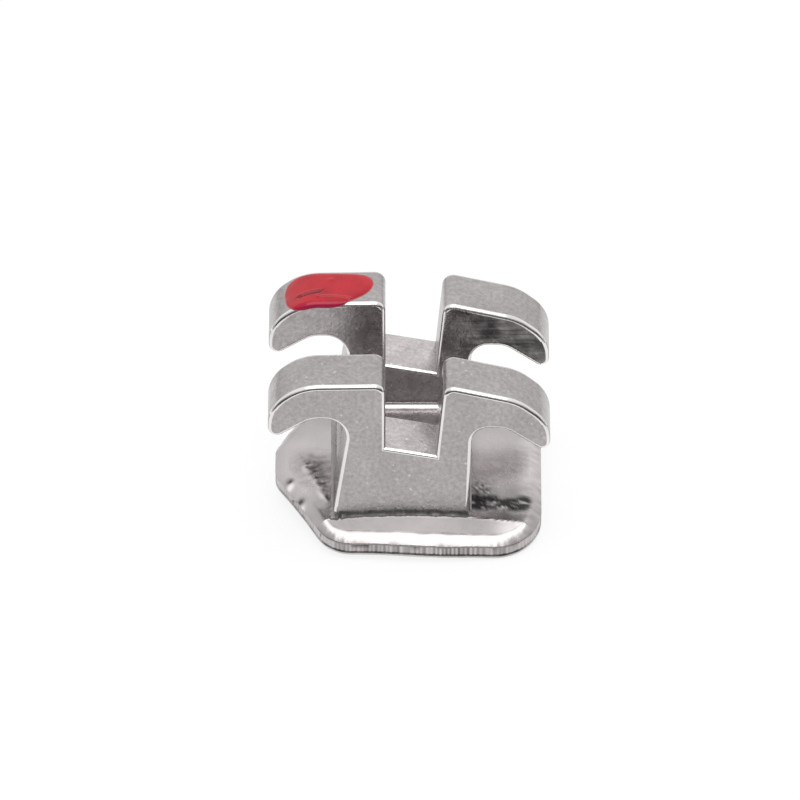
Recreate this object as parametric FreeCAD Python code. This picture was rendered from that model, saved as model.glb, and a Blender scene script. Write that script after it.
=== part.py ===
"""A twin (edgewise) orthodontic bracket with a 0.022 in archwire slot.

Units are millimetres and degrees. The archwire runs along Y, +X is to the right when the bracket is seen
along +Y, and +Z points away from the tooth. The bracket stands on the rim of its bonding base at Z = 0,
and the origin lies under the middle of its bounding box.

While the pieces are made, heights are measured from the crown of the pad's top face. All of them are
lifted together at the end, so that the lowest point of the retention mesh lies at Z = 0.
"""
import FreeCAD, Part
import math
import os
from FreeCAD import Vector

# Moulded body, seen from its end: the wings, the slot and the neck
WING_REACH = 1.560
SLOT_WIDTH = 0.559
SLOT_OFFSET = 0.0175
SLOT_DEPTH = 0.873
SLOT_TORQUE = 10.4
SLOT_DRAFT = 5.5
SLOT_MOUTH_RADIUS = 0.125

LEFT_TOP_HEIGHT = 1.522
LEFT_TOP_FALL = 1.0
LEFT_FLANK_WIDTH = 0.360
LEFT_FLANK_ANGLE = 38.0
LEFT_WING_DEPTH = 0.450
LEFT_OVERHANG = 0.903
LEFT_ARCH_SPAN = 0.423
LEFT_ARCH_RADIUS = 0.240
LEFT_TIP_SIDE = 0.441
LEFT_NECK_FLARE = 8.6
LEFT_TIP_RADIUS = 0.100

RIGHT_TOP_HEIGHT = 1.512
RIGHT_TOP_FALL = 13.3
RIGHT_FLANK_WIDTH = 0.355
RIGHT_FLANK_ANGLE = 38.7
RIGHT_WING_DEPTH = 0.560
RIGHT_OVERHANG = 0.863
RIGHT_ARCH_SPAN = 0.363
RIGHT_ARCH_RADIUS = 0.190
RIGHT_TIP_SIDE = 0.427
RIGHT_NECK_FLARE = -1.8
RIGHT_TIP_RADIUS = 0.090

SHOULDER_RADIUS = 0.600
NOSE_RADIUS = 0.450
ARCH_OUTER_RADIUS = 0.300

# Moulded body, seen from its side: two twins and the gap between them
BODY_LENGTH = 2.380
TWIN_LENGTH = 0.685
GAP_FLOOR_HEIGHT = 0.150
GAP_CORNER_RADIUS = 0.080
EDGE_RADIUS = 0.045
GAP_EDGE_BREAK = 0.030

# Bonding pad: foil above, woven wire below, both curved to the tooth in two directions
PAD_LENGTH = 3.200
PAD_LEFT_REACH = 1.489
PAD_RIGHT_REACH = 1.472
PAD_END_BULGE = 0.090
PAD_BULGE_RADIUS = 4.000
PAD_LEFT_CORNER_REACH = 0.900
PAD_LEFT_CORNER_RADIUS = 0.480
PAD_RIGHT_CORNER_RADIUS = 0.600
PAD_APEX_LENGTH = 0.500
PAD_APEX_SHIFT = -0.150
PAD_APEX_RADIUS = 0.420
CURVE_RADIUS_ACROSS = 9.000
CURVE_RADIUS_ALONG = 4.500
FOIL_THICKNESS = 0.060
FOIL_EDGE_BREAK = 0.025

MESH_PITCH = 0.3175
MESH_THICKNESS = 0.140
MESH_WIRE_RADIUS = 0.042
MESH_WIRE_FLAT = 0.006
MESH_RIM_WIDTH = 0.110

# Braze run round the foot, weld marks on the left flange, and the lacquer mark. The lacquer's outline is
# measured from the wing's outer end and from the twin's near end.
BRAZE_LEG = 0.060
WELD_MARK_RADIUS = 0.055
WELD_MARK_DEPTH = 0.018
WELD_MARK_SPOTS = ((-1.322, -0.555), (-1.200, -0.888))

LACQUER_THICKNESS = 0.022
LACQUER_WRAP = 0.010
LACQUER_OUTLINE = (
    (0.260, 0.000, 0.080),
    (0.160, 0.400, 0.200),
    (0.310, 0.640, 0.200),
    (1.200, 0.640, 0.150),
    (1.200, 0.300, 0.200),
    (0.940, 0.000, 0.200),
)

# How far helper solids run past the piece that they trim
OVERRUN = 0.300


def tangent(degrees):
    """The rise per millimetre of a line that slopes by this angle."""
    return math.tan(math.radians(degrees))


def rounded_outline(corners, place):
    """A closed wire through corners (u, v, radius), with a tangent arc of that radius at each."""
    starts = []
    ends = []
    middles = []
    count = len(corners)
    for index, (u, v, radius) in enumerate(corners):
        here = Vector(u, v, 0)
        before = Vector(*corners[index - 1][:2], 0) - here
        after = Vector(*corners[(index + 1) % count][:2], 0) - here
        before.normalize()
        after.normalize()
        half_angle = before.getAngle(after) / 2
        reach = radius / math.tan(half_angle) if radius else 0
        bisector = before + after
        if radius:
            bisector.normalize()
        centre_distance = radius / math.sin(half_angle) if radius else 0
        starts.append(here + before * reach)
        ends.append(here + after * reach)
        middles.append(here + bisector * (centre_distance - radius))
    edges = []
    for index in range(count):
        if corners[index][2]:
            arc = Part.Arc(place(starts[index]), place(middles[index]), place(ends[index]))
            edges.append(arc.toShape())
        following = starts[(index + 1) % count]
        edges.append(Part.makeLine(place(ends[index]), place(following)))
    return Part.Wire(edges)


def in_end_view(point):
    return Vector(point.x, 0, point.y)


def in_plan(point):
    return Vector(point.x, point.y, 0)


def in_side_view(point):
    return Vector(0, point.x, point.y)


def wing_corners(mouth, top_fall, flank_width, flank_angle, tip_radius, tip_side, depth,
                 overhang, arch_span, arch_radius, neck_flare, foot_height):
    """Corners of one wing from the slot's mouth out to the tip, back to the neck and down to the foot.

    Reaches count outwards from the middle, so both wings use the same rule.
    """
    mouth_reach, top_height = mouth
    shoulder_reach = WING_REACH - flank_width
    neck_reach = WING_REACH - overhang
    arch_reach = neck_reach + arch_span
    arch_height = top_height - depth
    shoulder_height = top_height - (shoulder_reach - mouth_reach) * tangent(top_fall)
    nose_height = shoulder_height - flank_width * tangent(flank_angle)
    tip_height = nose_height - tip_side
    foot_reach = neck_reach + (arch_height - foot_height) * tangent(neck_flare)
    return [
        (mouth_reach, top_height, SLOT_MOUTH_RADIUS),
        (shoulder_reach, shoulder_height, SHOULDER_RADIUS),
        (WING_REACH, nose_height, NOSE_RADIUS),
        (WING_REACH, tip_height, tip_radius),
        (arch_reach, arch_height, ARCH_OUTER_RADIUS),
        (neck_reach, arch_height, arch_radius),
        (foot_reach, foot_height, 0),
    ]


def body_outline():
    """The mushroom outline of a twin, down to a foot that ends inside the pad."""
    foot_height = pad_drop(WING_REACH - LEFT_OVERHANG, BODY_LENGTH / 2) - OVERRUN
    left_wall = SLOT_OFFSET - SLOT_WIDTH / 2
    right_wall = SLOT_OFFSET + SLOT_WIDTH / 2
    floor_height = LEFT_TOP_HEIGHT - SLOT_DEPTH
    half_fall = SLOT_WIDTH / 2 * tangent(SLOT_TORQUE)
    mouth_rise = RIGHT_TOP_HEIGHT - floor_height + half_fall
    left_wing = wing_corners(
        (-left_wall, LEFT_TOP_HEIGHT), LEFT_TOP_FALL, LEFT_FLANK_WIDTH, LEFT_FLANK_ANGLE,
        LEFT_TIP_RADIUS, LEFT_TIP_SIDE, LEFT_WING_DEPTH, LEFT_OVERHANG, LEFT_ARCH_SPAN,
        LEFT_ARCH_RADIUS, LEFT_NECK_FLARE, foot_height)
    right_wing = wing_corners(
        (right_wall + mouth_rise * tangent(SLOT_DRAFT), RIGHT_TOP_HEIGHT), RIGHT_TOP_FALL,
        RIGHT_FLANK_WIDTH, RIGHT_FLANK_ANGLE, RIGHT_TIP_RADIUS, RIGHT_TIP_SIDE,
        RIGHT_WING_DEPTH, RIGHT_OVERHANG, RIGHT_ARCH_SPAN, RIGHT_ARCH_RADIUS, RIGHT_NECK_FLARE,
        foot_height)
    slot_floor = [
        (left_wall, floor_height + half_fall, 0),
        (right_wall, floor_height - half_fall, 0),
    ]
    mirrored = [(-reach, height, radius) for reach, height, radius in reversed(left_wing)]
    return mirrored + slot_floor + right_wing


def pad_drop(x, y):
    """Height of the pad's top face at a point in plan, which is 0 at the crown and negative elsewhere."""
    across = CURVE_RADIUS_ACROSS - math.sqrt(CURVE_RADIUS_ACROSS ** 2 - x * x)
    radius_there = CURVE_RADIUS_ALONG - across
    return math.sqrt(radius_there ** 2 - y * y) - CURVE_RADIUS_ALONG


def curved_layer(top_depth, bottom_depth):
    """A layer of the doubly curved pad between two depths under its top face, larger than the pad."""
    half_width = max(PAD_LEFT_REACH, PAD_RIGHT_REACH) + OVERRUN
    half_sweep = math.degrees(math.asin((PAD_LENGTH / 2 + OVERRUN) / CURVE_RADIUS_ALONG)) * 1.05

    def on_arc(depth, x):
        radius = CURVE_RADIUS_ACROSS - depth
        return Vector(x, 0, math.sqrt(radius ** 2 - x * x) - CURVE_RADIUS_ACROSS)

    top = Part.Arc(on_arc(top_depth, -half_width), on_arc(top_depth, 0), on_arc(top_depth, half_width))
    bottom = Part.Arc(on_arc(bottom_depth, half_width), on_arc(bottom_depth, 0),
                      on_arc(bottom_depth, -half_width))
    right = Part.makeLine(on_arc(top_depth, half_width), on_arc(bottom_depth, half_width))
    left = Part.makeLine(on_arc(bottom_depth, -half_width), on_arc(top_depth, -half_width))
    section = Part.Face(Part.Wire([top.toShape(), right, bottom.toShape(), left]))
    tooth_axis = Vector(0, 0, -CURVE_RADIUS_ALONG)
    section.rotate(tooth_axis, Vector(1, 0, 0), -half_sweep)
    return section.revolve(tooth_axis, Vector(1, 0, 0), 2 * half_sweep).toNurbs()


def pad_outline():
    """The pad in plan: a blunt point on the left, a straight right side, and slightly bulged ends."""
    end = PAD_LENGTH / 2
    corner = end - PAD_END_BULGE
    apex_end = PAD_APEX_LENGTH / 2
    middle = (PAD_RIGHT_REACH - PAD_LEFT_CORNER_REACH) / 2
    corners = [
        (-PAD_LEFT_REACH, PAD_APEX_SHIFT - apex_end, PAD_APEX_RADIUS),
        (-PAD_LEFT_CORNER_REACH, -corner, PAD_LEFT_CORNER_RADIUS),
        (middle, -end, PAD_BULGE_RADIUS),
        (PAD_RIGHT_REACH, -corner, PAD_RIGHT_CORNER_RADIUS),
        (PAD_RIGHT_REACH, corner, PAD_RIGHT_CORNER_RADIUS),
        (middle, end, PAD_BULGE_RADIUS),
        (-PAD_LEFT_CORNER_REACH, corner, PAD_LEFT_CORNER_RADIUS),
        (-PAD_LEFT_REACH, PAD_APEX_SHIFT + apex_end, PAD_APEX_RADIUS),
    ]
    return Part.Face(rounded_outline(corners, in_plan))


def pad_prism(plan):
    """An upright block over a face in plan, tall enough to trim every layer of the pad."""
    low = pad_drop(PAD_LEFT_REACH, PAD_LENGTH / 2) - OVERRUN
    block = plan.extrude(Vector(0, 0, OVERRUN - low))
    block.translate(Vector(0, 0, low))
    return block


def make_body():
    """Both twins in one extrusion, with the gap cut across, its edges rounded, and its foot cut to the pad."""
    blank = Part.Face(rounded_outline(body_outline(), in_end_view)).extrude(Vector(0, BODY_LENGTH, 0))
    blank.translate(Vector(0, -BODY_LENGTH / 2, 0))
    gap_half = BODY_LENGTH / 2 - TWIN_LENGTH
    above = LEFT_TOP_HEIGHT + OVERRUN
    gap_corners = [
        (-gap_half, above, 0),
        (-gap_half, GAP_FLOOR_HEIGHT, GAP_CORNER_RADIUS),
        (gap_half, GAP_FLOOR_HEIGHT, GAP_CORNER_RADIUS),
        (gap_half, above, 0),
    ]
    half_width = WING_REACH + OVERRUN
    gap = Part.Face(rounded_outline(gap_corners, in_side_view)).extrude(Vector(2 * half_width, 0, 0))
    gap.translate(Vector(-half_width, 0, 0))
    body = blank.cut(gap)
    end_edges, gap_edges = outline_edges(body)
    body = body.makeFillet(EDGE_RADIUS, end_edges)
    end_edges, gap_edges = outline_edges(body)
    body = body.makeChamfer(GAP_EDGE_BREAK, gap_edges)
    below_pad_top = curved_layer(0, OVERRUN * 3)
    return body.cut(below_pad_top).Solids[0]


def outline_edges(body):
    """The edges round the two end faces, and those round the gap's walls and along its floor.

    Seams along the slot, seams across the gap's corners and the foot's own edges are left out.
    """
    foot = body.BoundBox.ZMin
    gap_half = BODY_LENGTH / 2 - TWIN_LENGTH
    seams = (GAP_FLOOR_HEIGHT, GAP_FLOOR_HEIGHT + GAP_CORNER_RADIUS)
    at_ends = []
    at_gap = []
    for edge in body.Edges:
        box = edge.BoundBox
        farthest = max(abs(box.YMin), abs(box.YMax))
        is_foot = box.ZMax < foot + 1e-6
        crosses_gap = box.ZLength < 1e-6 and box.YLength < 1e-6 and any(
            abs(box.ZMin - height) < 1e-6 for height in seams)
        on_end_face = box.YLength < 1e-6 and farthest > BODY_LENGTH / 2 - 1e-6
        in_gap = farthest < gap_half + 1e-6
        if on_end_face and not is_foot:
            at_ends.append(edge)
        elif in_gap and not is_foot and not crosses_gap:
            at_gap.append(edge)
    return at_ends, at_gap


def make_foil():
    """The stamped foil, its upper edge broken, with the pits of two tack welds on the left flange."""
    foil = curved_layer(0, FOIL_THICKNESS).common(pad_prism(pad_outline())).Solids[0]
    top_face = max(foil.Faces, key=lambda face: face.CenterOfMass.z)
    foil = foil.makeChamfer(FOIL_EDGE_BREAK, top_face.Edges)
    for x, y in WELD_MARK_SPOTS:
        tip = Vector(x, y, pad_drop(x, y) - WELD_MARK_DEPTH)
        foil = foil.cut(Part.makeCone(0, WELD_MARK_RADIUS * 2, WELD_MARK_DEPTH * 2, tip))
    return foil.Solids[0]


def mesh_wire(section_centre, axis_point, axis, sweep):
    """A pressed wire with a six-sided section, bent to an arc about the axis of the tooth's curve."""
    outward = (section_centre - axis_point).normalize()
    corners = []
    for turn in range(30, 420, 60):
        lift = outward * (MESH_WIRE_RADIUS * math.cos(math.radians(turn)))
        shift = axis * (MESH_WIRE_RADIUS * math.sin(math.radians(turn)))
        corners.append(section_centre + lift + shift)
    section = Part.Face(Part.makePolygon(corners))
    section.rotate(axis_point, axis, -sweep / 2)
    return section.revolve(axis_point, axis, sweep)


def places_on_pitch(reach):
    """Evenly spaced wire positions on both sides of the middle, as far as the pad reaches."""
    steps = int(reach / MESH_PITCH)
    return [step * MESH_PITCH for step in range(-steps, steps + 1)]


def make_mesh():
    """The gauze: bent wires both ways, flattened where they meet the foil, in a crushed rim."""
    outline = pad_outline()
    inner = outline.makeOffset2D(-MESH_RIM_WIDTH)
    layer = curved_layer(FOIL_THICKNESS, FOIL_THICKNESS + MESH_THICKNESS)
    rim = layer.common(pad_prism(outline.cut(inner)))
    tooth_axis = Vector(0, 0, -CURVE_RADIUS_ALONG)
    upper_depth = FOIL_THICKNESS + MESH_WIRE_RADIUS - MESH_WIRE_FLAT
    lower_depth = FOIL_THICKNESS + MESH_THICKNESS - MESH_WIRE_RADIUS
    wires = []
    for x in places_on_pitch(max(PAD_LEFT_REACH, PAD_RIGHT_REACH)):
        radius = CURVE_RADIUS_ACROSS - lower_depth
        centre = Vector(x, 0, math.sqrt(radius ** 2 - x * x) - CURVE_RADIUS_ACROSS)
        sweep = 2 * math.degrees(math.asin((PAD_LENGTH / 2) / CURVE_RADIUS_ALONG)) + 6
        wires.append(mesh_wire(centre, Vector(x, 0, tooth_axis.z), Vector(1, 0, 0), sweep))
    for y in places_on_pitch(PAD_LENGTH / 2):
        angle = math.degrees(math.asin(y / CURVE_RADIUS_ALONG))
        centre = Vector(0, 0, -upper_depth)
        sweep = 2 * math.degrees(math.asin(PAD_LEFT_REACH / CURVE_RADIUS_ACROSS)) + 4
        wire = mesh_wire(centre, Vector(0, 0, -CURVE_RADIUS_ACROSS), Vector(0, 1, 0), sweep)
        wire.rotate(tooth_axis, Vector(1, 0, 0), -angle)
        wires.append(wire)
    grid = wires[0].multiFuse(wires[1:])
    below_foil = curved_layer(FOIL_THICKNESS, FOIL_THICKNESS + MESH_THICKNESS * 2)
    grid = grid.common(below_foil.common(pad_prism(inner)))
    return rim.fuse(grid).removeSplitter().Solids[0]


def make_braze(body):
    """The braze that has run into the corner between foot and foil, as a sloped bead all round."""
    joined = body.fuse(curved_layer(0, FOIL_THICKNESS))
    foot_edges = []
    for edge in joined.Edges:
        at_foot = all(
            abs(end.Z - pad_drop(end.X, end.Y)) < 1e-4
            and abs(end.X) < WING_REACH
            and abs(end.Y) < BODY_LENGTH / 2 + 1e-4
            for end in edge.Vertexes)
        if at_foot:
            foot_edges.append(edge)
    return joined.makeChamfer(BRAZE_LEG, foot_edges).cut(joined).Solids[0]


def make_lacquer(body):
    """A dab of lacquer on the far left wing, one even thickness over the top and over the near edge."""
    outline = Part.Face(rounded_outline(body_outline(), in_end_view))
    near_end = BODY_LENGTH / 2 - TWIN_LENGTH
    skin = outline.makeOffset2D(LACQUER_THICKNESS)
    skin = skin.extrude(Vector(0, TWIN_LENGTH + 2 * LACQUER_THICKNESS, 0))
    skin.translate(Vector(0, near_end - LACQUER_THICKNESS, 0))
    end_edges = [edge for edge in skin.Edges if edge.BoundBox.YLength < 1e-6]
    skin = skin.makeFillet(EDGE_RADIUS + LACQUER_THICKNESS, end_edges)
    corners = [(x - WING_REACH, near_end + LACQUER_WRAP + y, radius) for x, y, radius in LACQUER_OUTLINE]
    underside = LEFT_TOP_HEIGHT - LEFT_WING_DEPTH + LEFT_TIP_RADIUS
    block = Part.Face(rounded_outline(corners, in_plan)).extrude(Vector(0, 0, LEFT_TOP_HEIGHT))
    block.translate(Vector(0, 0, underside))
    return skin.common(block).cut(body).Solids[0]


def make_parts():
    body = make_body()
    foil = make_foil()
    mesh = make_mesh()
    pieces = {
        "tie_wing_body": body,
        "bonding_pad_foil": foil,
        "retention_mesh": mesh,
        "braze_fillet": make_braze(body),
        "colour_dot": make_lacquer(body),
    }
    lift = -mesh.optimalBoundingBox(False, False).ZMin
    for piece in pieces.values():
        piece.translate(Vector(0, 0, lift))
    return pieces


def main():
    os.makedirs("parts", exist_ok=True)
    for name, piece in make_parts().items():
        box = piece.optimalBoundingBox(False, False)
        print(f"{name}: valid {piece.isValid()}, solids {len(piece.Solids)}, faces {len(piece.Faces)}, "
              f"volume {piece.Volume:.4f}, x {box.XMin:.3f} {box.XMax:.3f}, "
              f"y {box.YMin:.3f} {box.YMax:.3f}, z {box.ZMin:.3f} {box.ZMax:.3f}")
        piece.exportStep(f"parts/{name}.step")


main()
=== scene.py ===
"""Looks of the orthodontic bracket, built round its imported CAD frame.

Shapes are worked out in millimetres in the frame's own axes and written in metres. Heights are measured
from the crown of the pad's top face, as in the part's source, and lifted by CROWN.
"""

import math

import bmesh
import bpy
from mathutils import Matrix, Vector, noise


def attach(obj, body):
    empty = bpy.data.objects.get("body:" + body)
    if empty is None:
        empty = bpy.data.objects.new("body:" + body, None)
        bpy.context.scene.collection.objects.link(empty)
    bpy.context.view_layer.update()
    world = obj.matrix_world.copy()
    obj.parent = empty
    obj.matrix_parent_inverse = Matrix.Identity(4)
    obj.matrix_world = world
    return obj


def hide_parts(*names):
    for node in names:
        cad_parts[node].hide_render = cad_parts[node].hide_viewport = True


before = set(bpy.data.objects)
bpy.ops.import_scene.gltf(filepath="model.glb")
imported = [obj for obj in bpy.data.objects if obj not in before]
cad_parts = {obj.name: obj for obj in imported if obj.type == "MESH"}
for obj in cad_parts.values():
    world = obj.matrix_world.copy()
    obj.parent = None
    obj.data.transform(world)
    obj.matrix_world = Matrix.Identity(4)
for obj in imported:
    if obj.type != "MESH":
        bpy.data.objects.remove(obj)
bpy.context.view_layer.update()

MM = 0.001
CROWN = 0.548

# Body, as in the part's source
WING_REACH = 1.560
SLOT_WIDTH = 0.559
SLOT_OFFSET = 0.0175
SLOT_FLOOR_HEIGHT = 0.649
SLOT_TORQUE = 10.4
SLOT_DRAFT = 5.5
SLOT_MOUTH_RADIUS = 0.125
SHOULDER_RADIUS = 0.600
NOSE_RADIUS = 0.450
ARCH_OUTER_RADIUS = 0.300
LEFT = dict(top=1.522, fall=1.0, shoulder=1.200, flank=38.0, arch=1.072, arch_reach=1.080,
            arch_radius=0.240, side=0.441, neck=0.657, flare=8.6, tip=0.100)
RIGHT = dict(top=1.512, fall=13.3, shoulder=1.205, flank=38.7, arch=0.952, arch_reach=1.060,
             arch_radius=0.190, side=0.427, neck=0.697, flare=-1.8, tip=0.090)
BODY_LENGTH = 2.380
TWIN_LENGTH = 0.685
GAP_FLOOR_HEIGHT = 0.150
GAP_CORNER_RADIUS = 0.080
EDGE_RADIUS = 0.048
OVERRUN = 0.300

# Pad, as in the part's source
PAD_LENGTH = 3.200
PAD_LEFT_REACH = 1.489
PAD_RIGHT_REACH = 1.472
PAD_END_BULGE = 0.090
PAD_BULGE_RADIUS = 4.000
PAD_LEFT_CORNER_REACH = 0.900
PAD_LEFT_CORNER_RADIUS = 0.480
PAD_RIGHT_CORNER_RADIUS = 0.600
PAD_APEX_LENGTH = 0.500
PAD_APEX_SHIFT = -0.150
PAD_APEX_RADIUS = 0.420
CURVE_RADIUS_ACROSS = 9.000
CURVE_RADIUS_ALONG = 4.500
FOIL_THICKNESS = 0.060
MESH_PITCH = 0.3175
MESH_THICKNESS = 0.140

# Rounded edges of the body: steps, and angles between faces in degrees
EDGE_STEPS = 8
ROUNDED_FROM = 40.0
SHARP_FROM = 30.0

# Rounded faces that get the smoother edge steel, whose far lighter colour is a painted highlight: their tilt
# out of the end planes in degrees, and from what height a wing's top counts
TILT_ON_TOPS = (3.0, 87.0)
TILT_ELSEWHERE = (12.0, 56.0)
LEFT_TOP_FROM = 1.15
RIGHT_TOP_FROM = 1.00

# How far one skin is sunk in another
SEAT = 0.004

# The foil's rolled edge, and its rings by their distance from the edge
EDGE_ROLL = 0.130
EDGE_DROP = 0.055
EDGE_INSETS = (0.0, 0.008, 0.018, 0.030, 0.044, 0.060, 0.078, 0.096, 0.114, 0.130, 0.150, 0.190, 0.240)
FOIL_PITCH = 0.013
FOIL_RINGS = 46

# The near flange's last bend, as a slope from a place in y on
BEND_FROM = -1.21
BEND_LENGTH = 0.23
BEND_SLOPE = 0.28

# Runs of braze on the foil: x, y and the reach in each
NEAR_LEFT_RUN = (-1.10, -0.75, 0.30, 0.50)
NEAR_RIGHT_RUN = (0.98, -0.96, 0.36, 0.12)
FAR_LEFT_RUN = (-1.10, 0.80, 0.25, 0.40)
FAR_RIGHT_RUN = (1.02, 0.95, 0.30, 0.20)
# Paths of the dark painted reflections by the feet; the left one also raises a ridge in the foil
LEFT_STREAK = ((-1.13, -0.36), (-1.03, -0.60), (-0.93, -0.86), (-0.86, -1.04))
RIGHT_STREAK = ((0.66, -0.99), (0.80, -0.99), (1.00, -0.97), (1.18, -0.96), (1.27, -0.93))

# Weld marks: places, radius, depth, and the swell that lies on their near side
WELD_SPOTS = ((-1.322, -0.555), (-1.200, -0.888))
WELD_RADIUS = 0.036
WELD_DEPTH = 0.016
WELD_SWELL = 0.008
WELD_SWELL_SHIFT = -0.085

# The braze at the foot
BRAZE_PITCH = 0.012
BRAZE_TURNS = (0, 12, 24, 36, 48, 60)
RESIDUE = (-0.82, -1.17, 0.10)

# The gauze's rim and wires
RIM_PITCH = 0.0065
RIM_WIDTH = 0.110
COMB_PITCH = 0.052
WIRE_RADIUS = 0.035
WIRE_SWING = 0.034
WIRE_SIDES = 8
WIRE_STEP = 0.035
WIRE_LINES = 5

# The lacquer's outline on the far left wing: x, and the way along the skin from the near face's plane
LACQUER_POINTS = (
    (-1.394, 0.366), (-1.367, 0.169), (-1.300, 0.005), (-1.189, -0.036), (-1.056, -0.028),
    (-0.911, -0.036), (-0.767, -0.020), (-0.700, 0.011), (-0.589, 0.095), (-0.489, 0.174),
    (-0.411, 0.294), (-0.383, 0.437), (-0.444, 0.561), (-0.544, 0.604), (-0.767, 0.625),
    (-0.989, 0.635), (-1.156, 0.635), (-1.267, 0.625), (-1.344, 0.575), (-1.383, 0.495),
)
LACQUER_CENTRE = (-0.90, 0.33)
LACQUER_PITCH = 0.012
LACQUER_RINGS = 40
LACQUER_THICKNESS = 0.020
LACQUER_ROUNDING = 0.030

# Where the body's skin gets its scuffs, painted shade in the gap's far corner and painted light on the slot's
# floor, in millimetres of the frame. For x, y and z: the range in which the mask rises and the one in which
# it falls.
SCUFF = (((0.40, 0.62), None), ((0.47, 0.49), (0.515, 0.525)), ((1.00, 1.15), None))
# Painted shade in the gap's far lower corner
GAP_CORNER = ((None, None), ((0.395, 0.425), (0.500, 0.506)), (None, (0.78, 0.80)))
# Painted light on the slot's floor
SLOT_FLOOR = (
    ((-0.262, -0.255), (0.290, 0.297)), ((0.515, 0.530), (1.165, 1.180)), ((1.12, 1.13), (1.26, 1.30)),
)

# Camera and floor: degrees, and millimetres but for the lens
CAMERA_ELEVATION = 33.0
CAMERA_DISTANCE = 200.0
CAMERA_TARGET = (-0.1, 0.0, 1.116)
CAMERA_LENS = 810
CAMERA_SENSOR = 36
FLOOR_REACH = 12.0
FLOOR_GREY = 0.85
FLOOR_GLOW = 0.85

# Lamp, in metres
SOFTBOX_SIZE = (0.24, 0.36)
SOFTBOX_PLACE = (0.0, -0.09, 0.30)
SOFTBOX_RADIANCE = 2.3

# Grey levels of the room by height, from -1 straight down to 1 straight up
LEVELS_BEHIND = ((-1.0, 0.50), (-0.05, 0.55), (0.10, 0.94), (0.45, 0.98), (0.80, 0.98), (1.0, 0.98))
LEVELS_IN_FRONT = (
    (-1.0, 0.30), (-0.12, 0.12), (0.0, 0.08), (0.28, 0.09), (0.48, 0.45), (0.70, 0.92), (1.0, 0.98),
)

# Colours
STEEL = (0.425, 0.398, 0.398)
# Edge steel, far lighter than the body's steel as a painted highlight
EDGE_HIGHLIGHT_STEEL = (0.80, 0.78, 0.77)
DARK_RED = (0.32, 0.003, 0.011, 1)
LIGHT_RED = (0.43, 0.006, 0.017, 1)
RIM_RED = (0.40, 0.010, 0.055, 1)
# Painted shade in the lacquer's scratch
GROOVE_SHADE_RED = (0.10, 0.0, 0.006, 1)
THIN_FILM = (0.46, 0.26, 0.27, 1)


# Shapes in a plane

def rounded_outline(corners, turn):
    """Points round an outline with a tangent arc at each corner (u, v, radius), one every `turn` degrees."""
    points = []
    count = len(corners)
    for index, (u, v, radius) in enumerate(corners):
        here = Vector((u, v))
        before = (Vector(corners[index - 1][:2]) - here).normalized()
        after = (Vector(corners[(index + 1) % count][:2]) - here).normalized()
        if not radius:
            points.append(here)
            continue
        half_angle = before.angle(after) / 2
        centre = here + (before + after).normalized() * (radius / math.sin(half_angle))
        start = here + before * (radius / math.tan(half_angle)) - centre
        end = here + after * (radius / math.tan(half_angle)) - centre
        sweep = math.atan2(start.cross(end), start.dot(end))
        steps = max(2, math.ceil(abs(math.degrees(sweep)) / turn))
        first = math.atan2(start.y, start.x)
        for step in range(steps + 1):
            angle = first + sweep * step / steps
            points.append(centre + radius * Vector((math.cos(angle), math.sin(angle))))
    return points


def evenly_spaced(points, pitch):
    """The same closed outline with its points spaced by about one pitch."""
    count = len(points)
    lengths = [(points[(i + 1) % count] - points[i]).length for i in range(count)]
    total = sum(lengths)
    steps = round(total / pitch)
    spaced = []
    index = 0
    walked = 0.0
    for step in range(steps):
        target = total * step / steps
        while walked + lengths[index] < target:
            walked += lengths[index]
            index += 1
        share = (target - walked) / lengths[index] if lengths[index] else 0
        spaced.append(points[index].lerp(points[(index + 1) % count], share))
    return spaced


def outward_normals(points):
    """Unit normals of a closed outline that runs anticlockwise."""
    count = len(points)
    normals = []
    for i in range(count):
        along = (points[(i + 1) % count] - points[i - 1]).normalized()
        normals.append(Vector((along.y, -along.x)))
    return normals


def tangent(degrees):
    return math.tan(math.radians(degrees))


def pad_drop(x, y):
    """Height of the pad's top face, 0 at the crown."""
    across = CURVE_RADIUS_ACROSS - math.sqrt(CURVE_RADIUS_ACROSS ** 2 - x * x)
    radius_there = CURVE_RADIUS_ALONG - across
    return math.sqrt(radius_there ** 2 - y * y) - CURVE_RADIUS_ALONG


def wing_corners(mouth, wing, foot_height):
    mouth_reach, top_height = mouth
    shoulder_height = top_height - (wing["shoulder"] - mouth_reach) * tangent(wing["fall"])
    nose_height = shoulder_height - (WING_REACH - wing["shoulder"]) * tangent(wing["flank"])
    tip_height = nose_height - wing["side"]
    foot_reach = wing["neck"] + (wing["arch"] - foot_height) * tangent(wing["flare"])
    return [
        (mouth_reach, top_height, SLOT_MOUTH_RADIUS),
        (wing["shoulder"], shoulder_height, SHOULDER_RADIUS),
        (WING_REACH, nose_height, NOSE_RADIUS),
        (WING_REACH, tip_height, wing["tip"]),
        (wing["arch_reach"], wing["arch"], ARCH_OUTER_RADIUS),
        (wing["neck"], wing["arch"], wing["arch_radius"]),
        (foot_reach, foot_height, 0),
    ]


def body_corners():
    foot_height = pad_drop(LEFT["neck"], BODY_LENGTH / 2) - OVERRUN
    left_wall = SLOT_OFFSET - SLOT_WIDTH / 2
    right_wall = SLOT_OFFSET + SLOT_WIDTH / 2
    half_fall = SLOT_WIDTH / 2 * tangent(SLOT_TORQUE)
    right_floor = SLOT_FLOOR_HEIGHT - half_fall
    rise = RIGHT["top"] - right_floor
    left_wing = wing_corners((-left_wall, LEFT["top"]), LEFT, foot_height)
    right_wing = wing_corners((right_wall + rise * tangent(SLOT_DRAFT), RIGHT["top"]), RIGHT, foot_height)
    slot_floor = [(left_wall, SLOT_FLOOR_HEIGHT + half_fall, 0), (right_wall, right_floor, 0)]
    mirrored = [(-reach, height, radius) for reach, height, radius in reversed(left_wing)]
    return mirrored + slot_floor + right_wing


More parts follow.
